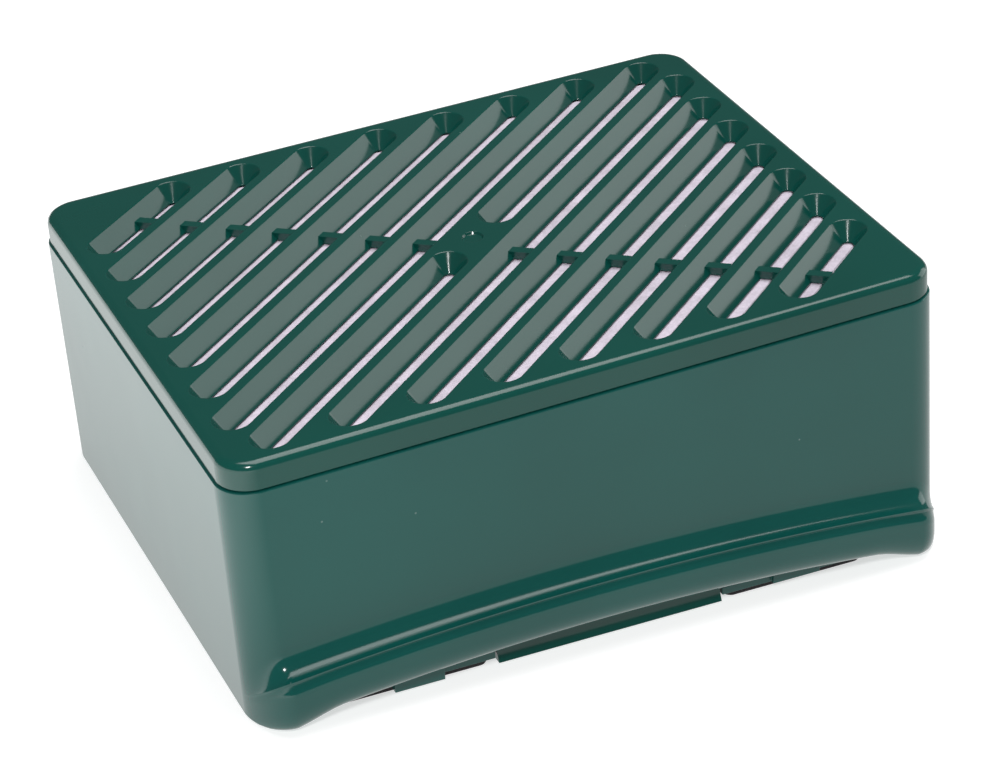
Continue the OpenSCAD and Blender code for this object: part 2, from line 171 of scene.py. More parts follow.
def mesh_object(name, verts, faces, place):
    mesh = bpy.data.meshes.new(name)
    mesh.from_pydata([place @ Vector(v) for v in verts], [], faces)
    mesh.update()
    piece = bpy.data.objects.new(name, mesh)
    bpy.context.collection.objects.link(piece)
    return piece


def tidy_mesh(piece, crease=32.0, merge=2e-6):
    """Merges doubles, points the faces outwards and shades the piece smooth up to its creases."""
    work = bmesh.new()
    work.from_mesh(piece.data)
    bmesh.ops.remove_doubles(work, verts=work.verts, dist=merge)
    bmesh.ops.dissolve_degenerate(work, edges=work.edges, dist=merge / 4)
    bmesh.ops.recalc_face_normals(work, faces=work.faces)
    work.to_mesh(piece.data)
    work.free()
    piece.data.shade_smooth()
    piece.data.set_sharp_from_angle(angle=math.radians(crease))


def even_shading(piece):
    shading = piece.modifiers.new("Even shading", "WEIGHTED_NORMAL")
    shading.keep_sharp = True
    shading.weight = 100


def finish_piece(piece, material, body, nodes):
    piece.data.materials.clear()
    piece.data.materials.append(material)
    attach(piece, body)
    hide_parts(*nodes)


def solid_copy(name, node, width, segments=2):
    """A copy of a solid's mesh with its edges broken, as a mould leaves them."""
    piece = bpy.data.objects.new(name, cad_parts[node].data.copy())
    bpy.context.collection.objects.link(piece)
    work = bmesh.new()
    work.from_mesh(piece.data)
    bmesh.ops.remove_doubles(work, verts=work.verts, dist=1e-6)
    bmesh.ops.dissolve_limit(
        work, angle_limit=math.radians(0.4), verts=work.verts, edges=work.edges, use_dissolve_boundaries=False)
    work.to_mesh(piece.data)
    work.free()
    piece.data.shade_smooth()
    piece.data.set_sharp_from_angle(angle=math.radians(35))
    edge = piece.modifiers.new("Broken edges", "BEVEL")
    edge.width = width / 1000
    edge.segments = segments
    edge.limit_method = "ANGLE"
    edge.angle_limit = math.radians(35)
    edge.harden_normals = False
    even_shading(piece)
    return piece


def grown(name, tree, values, place):
    """Runs a Geometry Nodes tree and returns its result as a plain mesh object."""
    seed = bpy.data.objects.new(name + "_seed", bpy.data.meshes.new(name + "_seed"))
    bpy.context.collection.objects.link(seed)
    run = seed.modifiers.new("Rule", "NODES")
    run.node_group = tree
    for item in tree.interface.items_tree:
        if item.item_type == "SOCKET" and item.in_out == "INPUT":
            run[item.identifier] = values[item.name]
    seed.update_tag()
    bpy.context.view_layer.update()
    shown = seed.evaluated_get(bpy.context.evaluated_depsgraph_get())
    mesh = bpy.data.meshes.new_from_object(shown)
    seed.modifiers.remove(run)
    bpy.data.objects.remove(seed)
    if not mesh.polygons:
        raise RuntimeError(name + ": the rule made no faces")
    mesh.transform(place)
    mesh.name = name
    piece = bpy.data.objects.new(name, mesh)
    bpy.context.collection.objects.link(piece)
    return piece


def new_tree(name, sockets):
    """An empty Geometry Nodes tree and its named inputs."""
    tree = bpy.data.node_groups.new(name, "GeometryNodeTree")
    for label, kind in sockets.items():
        tree.interface.new_socket(label, in_out="INPUT", socket_type="NodeSocket" + kind)
    tree.interface.new_socket("Geometry", in_out="OUTPUT", socket_type="NodeSocketGeometry")
    given = add(tree, "NodeGroupInput")
    return tree, {s.name: s for s in given.outputs if s.name}


def close_tree(tree, parts, material):
    """Joins the parts, merges what meets, and ends the tree in Realize Instances and Set Material."""
    joined = add(tree, "GeometryNodeJoinGeometry")
    for part in parts:
        tree.links.new(part.outputs[0], joined.inputs[0])
    real = add(tree, "GeometryNodeRealizeInstances", {0: joined})
    merged = add(tree, "GeometryNodeMergeByDistance", {"Geometry": real, "Distance": 0.001})
    painted = add(tree, "GeometryNodeSetMaterial", {"Geometry": merged, "Material": material})
    add(tree, "NodeGroupOutput", {0: painted})


# ---------- materials ----------

def new_material(name):
    material = bpy.data.materials.new(name)
    material.use_nodes = True
    material.node_tree.nodes.clear()
    return material, material.node_tree


def moulded_polypropylene(name, colour, waviness):
    """Injection-moulded polypropylene: a smooth gloss off a polished mould, that dips a little over
    the ribs and thick places behind it, with dust specks and a few fine scuffs from handling."""
    material, tree = new_material(name)
    place = add(tree, "ShaderNodeTexCoord").outputs["Object"]
    # the flow of the melt varies the pigment over a few centimetres
    flow = add(tree, "ShaderNodeTexNoise", {"Vector": place, "Scale": 32.0, "Detail": 2.0})
    tone = add(tree, "ShaderNodeMapRange",
        {"Value": flow, "From Min": 0.3, "From Max": 0.7, "To Min": 0.93, "To Max": 1.07})
    base = add(tree, "ShaderNodeVectorMath", {0: linear(colour)[:3], "Scale": tone}, operation="SCALE")
    # dust: specks of 0.1 to 0.2 mm, drawn a little coarse so that they show
    cells = add(tree, "ShaderNodeTexVoronoi", {"Vector": place, "Scale": 520.0, "Randomness": 1.0})
    pick = add(tree, "ShaderNodeTexWhiteNoise", {"Vector": cells.outputs["Position"]})
    few = add(tree, "ShaderNodeMath", {0: pick, 1: 0.992}, operation="GREATER_THAN")
    near = add(tree, "ShaderNodeMapRange",
        {"Value": cells.outputs["Distance"], "From Min": 0.05, "From Max": 0.12, "To Min": 1.0, "To Max": 0.0})
    dust = add(tree, "ShaderNodeMath", {0: few, 1: near}, operation="MULTIPLY")
    # scuffs: hairlines about 0.1 mm wide where the noise crosses a thin band
    warp = add(tree, "ShaderNodeTexNoise", {"Vector": place, "Scale": 55.0, "Detail": 1.0})
    band = add(tree, "ShaderNodeMath", {0: warp, 1: 0.5}, operation="SUBTRACT")
    width = add(tree, "ShaderNodeMath", {0: band}, operation="ABSOLUTE")
    line = add(tree, "ShaderNodeMapRange",
        {"Value": width, "From Min": 0.0004, "From Max": 0.0016, "To Min": 1.0, "To Max": 0.0})
    patch = add(tree, "ShaderNodeTexNoise", {"Vector": place, "Scale": 21.0, "Detail": 3.0})
    here = add(tree, "ShaderNodeMapRange", {"Value": patch, "From Min": 0.7, "From Max": 0.76})
    scuff = add(tree, "ShaderNodeMath", {0: line, 1: here}, operation="MULTIPLY")
    marks = add(tree, "ShaderNodeMath", {0: dust, 1: scuff}, operation="MAXIMUM")
    shade = add(tree, "ShaderNodeMix",
        {0: add(tree, "ShaderNodeMath", {0: marks, 1: 0.32}, operation="MULTIPLY"), 6: base,
        7: linear("#8FA6A0")}, data_type="RGBA")
    gloss = add(tree, "ShaderNodeMapRange",
        {"Value": add(tree, "ShaderNodeTexNoise", {"Vector": place, "Scale": 140.0, "Detail": 4.0}),
        "To Min": 0.12, "To Max": 0.17})
    rough = add(tree, "ShaderNodeMath",
        {0: gloss, 1: add(tree, "ShaderNodeMath", {0: marks, 1: 0.3}, operation="MULTIPLY")}, operation="ADD")
    # sink marks some 15 mm across, and a faint skin of 0.6 mm
    sink = add(tree, "ShaderNodeTexNoise", {"Vector": place, "Scale": 58.0, "Detail": 1.0})
    soft = add(tree, "ShaderNodeBump", {"Strength": waviness, "Distance": 0.0004, "Height": sink})
    skin = add(tree, "ShaderNodeTexNoise", {"Vector": place, "Scale": 900.0, "Detail": 2.0})
    fine = add(tree, "ShaderNodeBump", {"Strength": 0.02, "Distance": 0.00004, "Height": skin, "Normal": soft})
    body = add(tree, "ShaderNodeBsdfPrincipled", {
        "Base Color": shade.outputs[2], "Roughness": rough, "IOR": 1.49, "Normal": fine})
    add(tree, "ShaderNodeOutputMaterial", {"Surface": body})
    return material


def pressed_pulp(name, colour):
    """Air-laid cellulose pulp, pressed into a board: matte white, with fibres and tiny grey specks."""
    material, tree = new_material(name)
    place = add(tree, "ShaderNodeTexCoord").outputs["Object"]
    fibre = add(tree, "ShaderNodeTexNoise", {"Vector": place, "Scale": 1500.0, "Detail": 3.0, "Roughness": 0.7})
    cloud = add(tree, "ShaderNodeTexNoise", {"Vector": place, "Scale": 260.0, "Detail": 2.0})
    both = add(tree, "ShaderNodeMath", {0: fibre, 1: cloud}, operation="ADD")
    tone = add(tree, "ShaderNodeMapRange",
        {"Value": both, "From Min": 0.7, "From Max": 1.3, "To Min": 0.8, "To Max": 1.12})
    base = add(tree, "ShaderNodeVectorMath", {0: linear(colour)[:3], "Scale": tone}, operation="SCALE")
    bump = add(tree, "ShaderNodeBump", {"Strength": 0.5, "Distance": 0.0001, "Height": fibre})
    body = add(tree, "ShaderNodeBsdfPrincipled", {
        "Base Color": base, "Roughness": 0.92, "Normal": bump})
    add(tree, "ShaderNodeOutputMaterial", {"Surface": body})
    return material


def pressed_bait(name, colour):
    """Cellulose and sugar bait, pressed in a die: tan, matte and grainy, with darker grains."""
    material, tree = new_material(name)
    place = add(tree, "ShaderNodeTexCoord").outputs["Object"]
    grain = add(tree, "ShaderNodeTexVoronoi", {"Vector": place, "Scale": 900.0})
    tint = add(tree, "ShaderNodeTexWhiteNoise", {"Vector": grain.outputs["Position"]})
    tone = add(tree, "ShaderNodeMapRange", {"Value": tint, "To Min": 0.66, "To Max": 1.18})
    base = add(tree, "ShaderNodeVectorMath", {0: linear(colour)[:3], "Scale": tone}, operation="SCALE")
    cloud = add(tree, "ShaderNodeTexNoise", {"Vector": place, "Scale": 300.0, "Detail": 4.0})
    rise = add(tree, "ShaderNodeMath", {0: cloud, 1: grain.outputs["Distance"]}, operation="SUBTRACT")
    bump = add(tree, "ShaderNodeBump", {"Strength": 0.6, "Distance": 0.0003, "Height": rise})
    body = add(tree, "ShaderNodeBsdfPrincipled", {"Base Color": base, "Roughness": 0.88, "Normal": bump})
    add(tree, "ShaderNodeOutputMaterial", {"Surface": body})
    return material


def closed_cell_foam(name, colour):
    """Black closed-cell foam, cut from sheet: matte, with cut cells of about 0.3 mm, painted darker towards
    their hollow middles as painted shade.
    """
    material, tree = new_material(name)
    place = add(tree, "ShaderNodeTexCoord").outputs["Object"]
    cells = add(tree, "ShaderNodeTexVoronoi", {"Vector": place, "Scale": 1700.0})
    # painted shade: each cut cell is darkened towards its middle, which the bump below makes hollow
    tone = add(tree, "ShaderNodeMapRange",
        {"Value": cells.outputs["Distance"], "From Max": 0.6, "To Min": 0.55, "To Max": 1.5})
    base = add(tree, "ShaderNodeVectorMath", {0: linear(colour)[:3], "Scale": tone}, operation="SCALE")
    bump = add(tree, "ShaderNodeBump",
        {"Strength": 0.8, "Distance": 0.00015, "Height": cells.outputs["Distance"]})
    body = add(tree, "ShaderNodeBsdfPrincipled", {"Base Color": base, "Roughness": 0.85, "Normal": bump})
    add(tree, "ShaderNodeOutputMaterial", {"Surface": body})
    return material


def zinc_plated_steel(name):
    """Rolled and zinc-plated steel: a soft metallic sheen with fine drawing lines."""
    material, tree = new_material(name)
    place = add(tree, "ShaderNodeTexCoord").outputs["Object"]
    drawn = add(tree, "ShaderNodeMapping", {"Vector": place, "Scale": (900.0, 900.0, 6000.0)})
    lines = add(tree, "ShaderNodeTexNoise", {"Vector": drawn, "Scale": 1.0, "Detail": 2.0})
    rough = add(tree, "ShaderNodeMapRange", {"Value": lines, "To Min": 0.24, "To Max": 0.42})
    tone = add(tree, "ShaderNodeMapRange", {"Value": lines, "To Min": 0.9, "To Max": 1.06})
    base = add(tree, "ShaderNodeVectorMath", {0: linear("#BFC1C4")[:3], "Scale": tone}, operation="SCALE")
    body = add(tree, "ShaderNodeBsdfPrincipled", {"Base Color": base, "Metallic": 1.0, "Roughness": rough})
    add(tree, "ShaderNodeOutputMaterial", {"Surface": body})
    return material


# ---------- housing ----------

def ease(t):
    u = max(0.0, min(1.0, t))
    return u * u * (3 - 2 * u)


def lip_section(h, b, g):
    """Section of the lip between a foot b and a groove g: (out, height) from the top down."""
    f = g - b
    top = 0.28 * f
    points = [((h.lip - 0.4) * (1 - math.cos(a)), g + 0.3 + h.sweep * (1 - math.sin(a)))
              for a in (math.radians(i * 9) for i in range(11))]
    points += [(h.lip - 0.47, g + 0.02), (h.lip - 0.62, g - 0.12), (h.lip - 0.72, g - 0.05 * f)]
    points += [(h.lip - 1.4 + 1.4 * math.cos(a), g - top + 0.75 * top * math.sin(a))
               for a in (math.radians(50 - i * 10) for i in range(6))]
    points += [(h.lip - 2.9 + 2.9 * math.cos(a), b + 0.52 * f * (1 - math.sin(a)))
               for a in (math.radians(i * 7) for i in range(13))]
    return points


def arch_height(h, x):
    u = x / (h.length / 2 - 15.5)
    return (h.arch - h.arch_bow * u * u) * (1 - ease((abs(x) - (h.length / 2 - h.corner) + 8) / 12))


def housing_stations(h):
    """Stations round the wall: (x, y, inward x, inward y, weight of the lip, foot, groove)."""
    cx = h.length / 2 - h.corner
    cy = h.depth / 2 - h.corner
    bow = h.groove - h.groove_bow

    def front(x):
        return (x, -h.depth / 2, 0, 1, 1, arch_height(h, x), h.groove - h.groove_bow * (x / cx) ** 2)

    def front_corner(side, u):
        a = math.pi / 2 * (1 - u)
        k = ease(u)
        return (side * (cx + h.corner * math.sin(a)), -cy - h.corner * math.cos(a), -side * math.sin(a),
            math.cos(a),
                k, arch_height(h, cx) * k, h.groove_side + (bow - h.groove_side) * k)

    def rear_corner(side, u):
        a = math.pi / 2 * u
        return (side * (cx + h.corner * math.cos(a)), cy + h.corner * math.sin(a), -side * math.cos(a),
            -math.sin(a),
                0, 0, h.groove_side)

    rows = [front_corner(-1, i / 16) for i in range(16)]
    rows += [front(cx * (2 * i / 72 - 1)) for i in range(73)]
    rows += [front_corner(1, i / 16) for i in range(15, -1, -1)]
    rows += [(h.length / 2, -cy + 2 * cy * i / 8, -1, 0, 0, 0, h.groove_side) for i in range(1, 8)]
    rows += [rear_corner(1, i / 12) for i in range(13)]
    rows += [(cx * (1 - 2 * i / 8), h.depth / 2, 0, -1, 0, 0, h.groove_side) for i in range(1, 8)]
    rows += [rear_corner(-1, i / 12) for i in range(12, -1, -1)]
    rows += [(-h.length / 2, cy - 2 * cy * i / 8, 1, 0, 0, 0, h.groove_side) for i in range(1, 8)]
    return rows


def housing_loop(h, seam, s):
    """One station's closed loop: rim, outside, lip, foot and inside."""
    x, y, ix, iy, k, foot, groove = s
    floor = -x * math.tan(h.slope)
    arch = max(foot, h.foot)
    r = h.rim
    loop = [(x + ix * r * c, y + iy * r * c, seam - r * d)
            for c, d in ((1.0, 0.0), (0.5, 0.13), (0.13, 0.5), (0.0, 1.0))]
    loop += [(x, y, seam - d) for d in (3.0, 12.0)]
    for out, z in lip_section(h, foot - 0.2, groove):
        loop.append((x, y - out * k, max(z, arch) + floor))
    inner = h.wall
    loop.append((x + ix * inner * 0.85, y + iy * inner * 0.85, arch + floor))
    loop.append((x + ix * inner, y + iy * inner, arch + 0.3 + floor))
    loop += [(x + ix * inner, y + iy * inner, z) for z in (8.0, 20.0, seam - 3.0, seam - 0.2)]
    loop.append((x + ix * (inner - 0.2), y + iy * (inner - 0.2), seam))
    return loop


def boss(x, y, low, high, outer, hole, steps=32):
    """A screw boss as a turned ring, its upper edge rounded."""
    ring = [(outer, low), (outer, high - 0.5), (outer - 0.15, high - 0.15), (outer - 0.5, high),
            (0.0, high), (0.0, high - 0.8), (hole, high - 0.8 - hole), (hole, low + 0.3), (hole + 0.3, low)]
    verts = [(x + r * math.cos(a), y + r * math.sin(a), z)
             for a in (2 * math.pi * i / steps for i in range(steps)) for r, z in ring]
    n = len(ring)
    faces = [(i * n + j, (i + 1) % steps * n + j, (i + 1) % steps * n + (j + 1) % n, i * n + (j + 1) % n)
             for i in range(steps) for j in range(n)]
    return verts, faces


class STATION_OT_housing(bpy.types.Operator):
    """Builds the housing: deep walls with rounded corners and a lip that arches along the front"""
    bl_idname = "station.housing"
    bl_label = "Housing"

    def execute(self, context):
        h, lid, colours = settings()
        seam = h.roof - lid.skirt
        loops = [housing_loop(h, seam, s) for s in housing_stations(h)]
        n = len(loops[0])
        m = len(loops)
        verts = [p for loop in loops for p in loop]
        faces = [(i * n + j, i * n + (j + 1) % n, (i + 1) % m * n + (j + 1) % n, (i + 1) % m * n + j)
                 for i in range(m) for j in range(n)]
        shell = mesh_object("housing_shell", verts, faces, to_row())
        tidy_mesh(shell, crease=28)
        work = bmesh.new()
        work.from_mesh(shell.data)
        for sx in (-1, 1):
            for sy in (-1, 1):
                bx, by = sx * (h.length / 2 - SCREW_INSET), sy * (h.depth / 2 - SCREW_INSET)
                top = CASSETTE_FLOOR + bx * math.tan(h.slope)
                verts, faces = boss(bx, by, BASE_TOP, top, BOSS_RADIUS, BOSS_BORE)
                part = mesh_object("boss", verts, faces, to_row(False))
                work.from_mesh(part.data)
                bpy.data.objects.remove(part)
                web = bmesh.ops.create_cube(work, size=1.0)["verts"]
                low, high = BASE_TOP, top - WEB_DROP
                size = Matrix.Diagonal((SCREW_INSET - 1.0, WEB_THICKNESS, high - low, 1))
                spot = Matrix.Translation((sx * (abs(bx) + h.length / 2) / 2, by, (low + high) / 2))
                bmesh.ops.transform(work, matrix=to_row(False) @ spot @ size, verts=web)
        work.to_mesh(shell.data)
        work.free()
        shell.data.shade_smooth()
        shell.data.set_sharp_from_angle(angle=math.radians(28))
        even_shading(shell)
        finish_piece(shell, moulded_polypropylene("Polypropylene moulded housing green", colours.housing, 0.10),
                     "housing_body", ["housing"])
        return {"FINISHED"}


# ---------- grille lid ----------

def grille_tree(material, rows=16):
    """Funnel slots in a crowned lid. Every outline is a circle stretched along its slot or its lid."""
    sockets = {name: "Float" for name in (
        "Length", "Depth", "Corner Radius", "Height", "Crown", "Grille", "Slot Angle", "Slot Pitch", "Mouth",
        "Slit", "Margin", "Land", "Gate", "Rib Width", "Rib Drop", "Seam Step", "Spigot Wall", "Spigot Reach",
        "Fillet")}
    tree, size = new_tree("Funnel grille lid", sockets)

    def op(kind, a, b=0.0):
        return add(tree, "ShaderNodeMath", {0: a, 1: b}, operation=kind).outputs[0]

    def vec(x=0.0, y=0.0, z=0.0):
        return add(tree, "ShaderNodeCombineXYZ", {0: x, 1: y, 2: z}).outputs[0]

    def section(points, radius):
        """A profile through the given points, its corners filleted."""
        line = add(tree, "GeometryNodeMeshLine", {"Count": len(points)})
        pick = add(tree, "GeometryNodeIndexSwitch", {"Index": add(tree, "GeometryNodeInputIndex")},
            data_type="VECTOR")
        while len(pick.index_switch_items) < len(points):
            pick.index_switch_items.new()
        for i, (out, up) in enumerate(points):
            tree.links.new(vec(out, op("MULTIPLY", up, -1.0)), pick.inputs[i + 1])
        bent = add(tree, "GeometryNodeSetPosition", {"Geometry": line, "Position": pick})
        curve = add(tree, "GeometryNodeMeshToCurve", {"Mesh": bent})
        return add(tree, "GeometryNodeFilletCurve", {
            "Curve": curve, "Count": 4, "Radius": radius, "Limit Radius": True}, mode="POLY")

    def circle(radius, steps):
        """A circle with no point on an axis, so that it can be stretched apart there."""
        ring = add(tree, "GeometryNodeCurvePrimitiveCircle", {"Resolution": steps, "Radius": radius})
        return add(tree, "GeometryNodeTransform", {"Geometry": ring, "Rotation": (0, 0, math.pi / steps)})

    def swept(radius, steps, profile):
        return add(tree, "GeometryNodeCurveToMesh", {"Curve": circle(radius, steps), "Profile Curve": profile})

    # slots: one point for each, with the ends and the offset of its line
    index = add(tree, "GeometryNodeInputIndex").outputs[0]
    second = op("GREATER_THAN", index, 2.0 * rows + 0.5)
    count = op("MULTIPLY", op("SUBTRACT", index, float(rows)), op("SUBTRACT", 1.0, second))
    aside = op("MULTIPLY", count, size["Slot Pitch"])
    c = op("COSINE", size["Slot Angle"])
    s = op("SINE", size["Slot Angle"])
    reach_x = op("SUBTRACT", op("MULTIPLY", size["Length"], 0.5), size["Margin"])
    reach_y = op("SUBTRACT", op("MULTIPLY", size["Depth"], 0.5), size["Margin"])
    across = op("MULTIPLY", aside, s)
    along = op("MULTIPLY", aside, c)
    high = op("MINIMUM", op("DIVIDE", op("SUBTRACT", reach_x, across), c),
        op("DIVIDE", op("ADD", reach_y, along), s))
    low = op("MAXIMUM", op("DIVIDE", op("SUBTRACT", op("MULTIPLY", reach_x, -1.0), across), c),
             op("DIVIDE", op("SUBTRACT", along, reach_y), s))
    half_land = op("MULTIPLY", size["Land"], 0.5)
    middle = op("MULTIPLY", op("LESS_THAN", op("ABSOLUTE", count), 0.5), op("SUBTRACT", 1.0, second))
    start = op("ADD", low, op("MULTIPLY", middle, op("SUBTRACT", half_land, low)))
    end = op("ADD", high, op("MULTIPLY", second, op("SUBTRACT", op("MULTIPLY", half_land, -1.0), high)))
    points = add(tree, "GeometryNodeMeshLine", {"Count": 2 * rows + 2, "Offset": (0, 0, 0)})
    for name, value in (("slot_start", start), ("slot_end", end), ("slot_aside", aside)):
        points = add(tree, "GeometryNodeStoreNamedAttribute",
            {"Geometry": points, "Name": name, "Value": value},
                     data_type="FLOAT", domain="POINT")
    named = {name: add(tree, "GeometryNodeInputNamedAttribute", {"Name": name}, data_type="FLOAT").outputs[0]
             for name in ("slot_start", "slot_end", "slot_aside")}
    short = op("LESS_THAN", op("SUBTRACT", named["slot_end"], named["slot_start"]),
        op("MULTIPLY", size["Mouth"], 2.0))
    points = add(tree, "GeometryNodeDeleteGeometry", {"Geometry": points, "Selection": short}, domain="POINT")

    def along_slots(shape):
        """Puts a shape on every slot, stretches it to the slot's length and turns it to the slot's angle."""
        put = add(tree, "GeometryNodeInstanceOnPoints", {"Points": points, "Instance": shape})
        real = add(tree, "GeometryNodeRealizeInstances", {0: put})
        spot = add(tree, "ShaderNodeSeparateXYZ", {0: add(tree, "GeometryNodeInputPosition")})
        upper = op("GREATER_THAN", spot.outputs[0], 0.0)
        shift = op("ADD", named["slot_start"],
            op("MULTIPLY", upper, op("SUBTRACT", named["slot_end"], named["slot_start"])))
        moved = vec(op("ADD", spot.outputs[0], shift), op("SUBTRACT", spot.outputs[1], named["slot_aside"]),
            spot.outputs[2])
        turned = add(tree, "ShaderNodeVectorRotate", {"Vector": moved, "Angle": size["Slot Angle"]},
            rotation_type="Z_AXIS")
        return add(tree, "GeometryNodeSetPosition", {"Geometry": real, "Position": turned})

    def round_lid(shape):
        """Stretches a shape made on the corner circle out to the lid's four corners."""
        spot = add(tree, "ShaderNodeSeparateXYZ", {0: add(tree, "GeometryNodeInputPosition")})
        half_x = op("SUBTRACT", op("MULTIPLY", size["Length"], 0.5), size["Corner Radius"])
        half_y = op("SUBTRACT", op("MULTIPLY", size["Depth"], 0.5), size["Corner Radius"])
        x = op("ADD", spot.outputs[0], op("MULTIPLY", op("SIGN", spot.outputs[0]), half_x))
        y = op("ADD", spot.outputs[1], op("MULTIPLY", op("SIGN", spot.outputs[1]), half_y))
        return add(tree, "GeometryNodeSetPosition", {"Geometry": shape, "Position": vec(x, y, spot.outputs[2])})

    def sheet(outlines, height):
        """A level sheet between the lid's outline and the outlines of its openings."""
        joined = add(tree, "GeometryNodeJoinGeometry")
        for outline in outlines:
            tree.links.new(outline.outputs[0], joined.inputs[0])
        filled = add(tree, "GeometryNodeFillCurve", {"Curve": joined}, mode="TRIANGLES")
        return add(tree, "GeometryNodeTransform", {"Geometry": filled, "Translation": vec(0.0, 0.0, height)})

    floor_z = op("SUBTRACT", size["Height"], size["Grille"])
    slit_r = op("MULTIPLY", size["Slit"], 0.5)
    run = op("SUBTRACT", op("MULTIPLY", size["Mouth"], 0.5), slit_r)
    edge = op("ADD", run, 0.45)
    steps = 44
    funnel = add(tree, "GeometryNodeTransform", {"Geometry": swept(slit_r, steps, section(
        [(0.0, 0.0), (0.0, 0.15), (run, size["Grille"]), (edge, size["Grille"])], size["Fillet"])),
        "Translation": vec(0.0, 0.0, floor_z)})
    mouth_ring = circle(op("ADD", slit_r, edge), steps)
    slit_ring = circle(slit_r, steps)

    # crown, skirt, spigot and well, in one sweep round the lid
    step = size["Seam Step"]
    well = op("ADD", step, size["Spigot Wall"])
    crown_in = op("MULTIPLY", op("ADD", size["Crown"], 0.3), -1.0)
    below = op("MULTIPLY", size["Spigot Reach"], -1.0)
    corner_steps = 72
    side = round_lid(swept(size["Corner Radius"], corner_steps, section(
        [(crown_in, size["Height"]), (0.0, size["Height"]), (0.0, 0.3), (-0.3, 0.0),
            (op("MULTIPLY", step, -1.0), 0.0),
         (op("MULTIPLY", step, -1.0), below), (op("MULTIPLY", well, -1.0), below),
         (op("MULTIPLY", well, -1.0), floor_z)],
        add(tree, "GeometryNodeSwitch", {"Switch": add(tree, "FunctionNodeCompare", {
            "A": add(tree, "GeometryNodeInputIndex"), "B": 1}, data_type="INT", operation="EQUAL"),
            "False": 0.2, "True": size["Crown"]}, input_type="FLOAT"))))
    top_outline = round_lid(circle(op("ADD", size["Corner Radius"], crown_in), corner_steps))
    low_outline = round_lid(circle(op("SUBTRACT", size["Corner Radius"], well), corner_steps))

    # gate dimple in the middle of the land
    gate_r = op("MULTIPLY", size["Gate"], 0.5)
    gate_steps = 40
    gate = add(tree, "GeometryNodeTransform",
        {"Geometry": swept(op("MULTIPLY", gate_r, 0.5), gate_steps, section(
        [(0.0, -0.5), (op("MULTIPLY", gate_r, 0.35), -0.42), (op("MULTIPLY", gate_r, 0.5), 0.0),
         (op("MULTIPLY", gate_r, 0.62), 0.0)], 0.12)), "Translation": vec(0.0, 0.0, size["Height"])})
    gate_floor = add(tree, "GeometryNodeTransform", {
        "Geometry": add(tree, "GeometryNodeFillCurve",
            {"Curve": circle(op("MULTIPLY", gate_r, 0.5), gate_steps)}, mode="NGONS"),
        "Translation": vec(0.0, 0.0, op("SUBTRACT", size["Height"], 0.5))})
    gate_ring = circle(op("MULTIPLY", gate_r, 1.12), gate_steps)

    # stiffening rib on the other diagonal
    rib_h = op("SUBTRACT", size["Grille"], size["Rib Drop"])
    length = op("SUBTRACT",
        op("MULTIPLY", 2.0,
        op("SQRT", op("ADD", op("MULTIPLY", reach_x, reach_x), op("MULTIPLY", reach_y, reach_y)))), 12.0)
    rib = add(tree, "GeometryNodeTransform", {
        "Geometry": add(tree, "GeometryNodeMeshCube", {"Size": vec(length, size["Rib Width"], rib_h)}),
        "Translation": vec(0.0, 0.0, op("ADD", floor_z, op("MULTIPLY", rib_h, 0.5))),
        "Rotation": vec(0.0, 0.0, op("MULTIPLY", size["Slot Angle"], -1.0))})

    top = sheet([top_outline, along_slots(mouth_ring), gate_ring], size["Height"])
    bottom = sheet([low_outline, along_slots(slit_ring)], floor_z)
    close_tree(tree, [along_slots(funnel), side, top, bottom, gate, gate_floor, rib], material)
    return tree


class STATION_OT_grille_lid(bpy.types.Operator):
    """Builds the slotted lid from its rule: diagonal funnel slots, crowned edge, skirt and spigot"""
    bl_idname = "station.grille_lid"
    bl_label = "Grille Lid"

    def execute(self, context):
        h, lid, colours = settings()
        material = moulded_polypropylene("Polypropylene moulded lid green", colours.lid, 0.22)
        seam = h.roof - lid.skirt
        values = {
            "Length": h.length - 2 * lid.inset, "Depth": h.depth - 2 * lid.inset,
                "Corner Radius": h.corner - lid.inset,
            "Height": lid.skirt, "Crown": lid.crown, "Grille": lid.grille, "Slot Angle": lid.angle,
            "Slot Pitch": lid.pitch, "Mouth": lid.mouth, "Slit": lid.slit, "Margin": lid.margin,
            "Land": lid.land,
            "Gate": lid.gate, "Rib Width": lid.rib, "Rib Drop": lid.rib_drop,
            "Seam Step": h.wall + lid.fit - lid.inset, "Spigot Wall": lid.spigot_wall,
            "Spigot Reach": lid.spigot,
            "Fillet": lid.fillet}
        place = to_row() @ Matrix.Translation((0, 0, seam))
        piece = grown("grille_lid_shell", grille_tree(material), values, place)
        tidy_mesh(piece, crease=30)
        even_shading(piece)
        finish_piece(piece, material, "lid", ["grille_lid"])
        return {"FINISHED"}


# ---------- pad, cassette and bait ----------

def cassette_span(h, lid):
    """Length and width of the cassette, which clears the lid's spigot all round."""
    well = h.wall + lid.fit + lid.spigot_wall
    return [side - 2 * well - 4 * lid.fit for side in (h.length, h.depth)]


